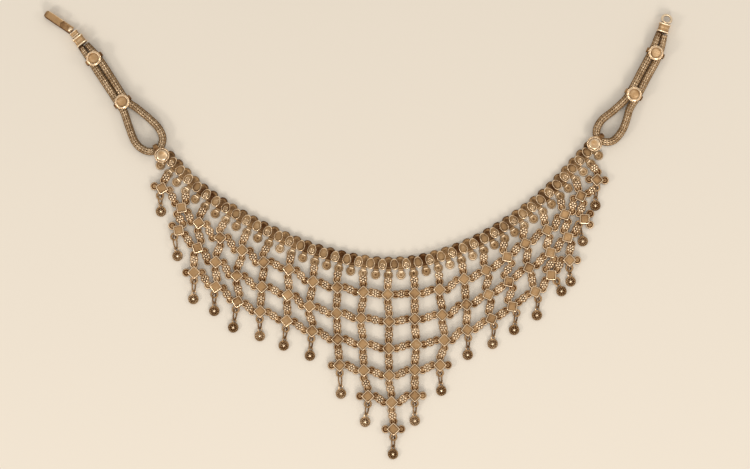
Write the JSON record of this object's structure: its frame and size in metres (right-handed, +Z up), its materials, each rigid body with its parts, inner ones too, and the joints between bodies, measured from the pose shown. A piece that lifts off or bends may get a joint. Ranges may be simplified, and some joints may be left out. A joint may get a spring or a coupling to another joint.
{
  "type": "bib necklace",
  "caption": "Silver bib necklace: a net of square plaques on four-lobed wire bases with round drops, hung from a collar of oval links, with doubled woven straps, slides, a hook and a ring.",
  "frame": {"origin": "underside of the collar at its middle, on the surface the necklace lies on", "axes": "+X along the collar towards the ring end, +Y from the bib to the clasp, +Z up off the surface"},
  "size_m": [0.3074, 0.2195, 0.006],
  "materials": {
    "net_silver": "oxidised silver",
    "collar_silver": "oxidised silver",
    "drop_silver": "oxidised silver",
    "chain_silver": "dark oxidised silver",
    "mount_silver": "worn bright silver"
  },
  "bodies": {
    "root": {"bib_net": "net_silver", "collar_chain": "collar_silver", "woven_chain_left": "chain_silver", "woven_chain_right": "chain_silver", "slide_left_upper": "mount_silver", "slide_left_lower": "mount_silver", "slide_right_upper": "mount_silver", "slide_right_lower": "mount_silver", "ferrule_left": "mount_silver", "ferrule_right": "mount_silver", "end_button_left": "mount_silver", "end_button_right": "mount_silver", "clasp_hook": "mount_silver", "drop_01": "drop_silver", "drop_02": "drop_silver", "drop_03": "drop_silver", "drop_04": "drop_silver", "drop_05": "drop_silver", "drop_06": "drop_silver", "drop_07": "drop_silver", "drop_08": "drop_silver", "drop_09": "drop_silver", "drop_10": "drop_silver", "drop_11": "drop_silver", "drop_12": "drop_silver", "drop_13": "drop_silver", "drop_14": "drop_silver", "drop_15": "drop_silver", "drop_16": "drop_silver", "drop_17": "drop_silver", "drop_18": "drop_silver", "drop_19": "drop_silver", "drop_20": "drop_silver", "drop_21": "drop_silver"}
  },
  "joints": []
}
